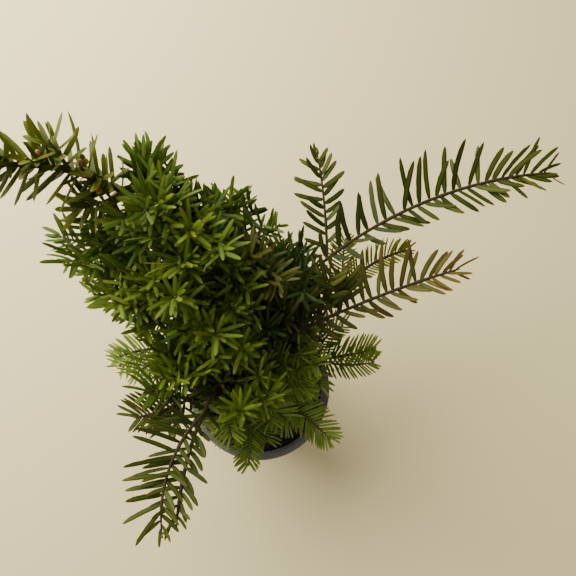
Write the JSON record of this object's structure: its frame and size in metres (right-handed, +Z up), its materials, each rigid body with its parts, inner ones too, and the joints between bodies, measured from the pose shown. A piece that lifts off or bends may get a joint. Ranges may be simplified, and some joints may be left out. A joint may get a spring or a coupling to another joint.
{
  "type": "potted conifer",
  "caption": "Young English yew with a leaning trunk and open, arching shoots of flat needles, in a round grey plastic nursery pot.",
  "frame": {"origin": "centre of the pot's flat underside, on the surface it stands on", "axes": "+Z up the pot's axis; +X towards the longest side shoot; +Y towards the side the trunk leans to"},
  "size_m": [0.4281, 0.3167, 0.3453],
  "materials": {
    "pot": "matt grey moulded plastic",
    "compost": "damp crumbly compost",
    "bark": "young reddish-brown bark",
    "needles": "waxy green needles"
  },
  "bodies": {
    "root": {"pot": "pot", "compost": "compost", "trunk": "bark", "bough_back": "bark", "bough_back_left": "bark", "bough_back_low": "bark", "bough_bronze": "bark", "bough_front": "bark", "bough_front_left": "bark", "bough_left": "bark", "bough_left_middle": "bark", "bough_low_back": "bark", "bough_low_front": "bark", "bough_low_left": "bark", "bough_low_right": "bark", "bough_middle": "bark", "bough_olive": "bark", "bough_right": "bark", "bough_right_inner": "bark", "needles_back_flat": "needles", "needles_back_left": "needles", "needles_back_middle": "needles", "needles_back_star": "needles", "needles_bronze": "needles", "needles_centre": "needles", "needles_centre_front": "needles", "needles_centre_right": "needles", "needles_crown_star": "needles", "needles_front": "needles", "needles_front_left": "needles", "needles_front_star": "needles", "needles_inner_front": "needles", "needles_inner_left": "needles", "needles_inner_star": "needles", "needles_leader": "needles", "needles_leader_star": "needles", "needles_left_brown": "needles", "needles_left_middle": "needles", "needles_left_star": "needles", "needles_left_upper": "needles", "needles_low_back": "needles", "needles_low_front": "needles", "needles_low_inner": "needles", "needles_low_left": "needles", "needles_low_right": "needles", "needles_low_right_far": "needles", "needles_middle_star": "needles", "needles_olive_star": "needles", "needles_right_fork": "needles", "needles_right_inner": "needles", "needles_rim_front": "needles", "needles_rim_inner": "needles", "needles_rim_left": "needles", "needles_rim_middle": "needles", "needles_rim_right": "needles", "needles_upper_back": "needles", "needles_upper_fan": "needles", "needles_upper_left": "needles", "needles_upper_star": "needles"}
  },
  "joints": []
}
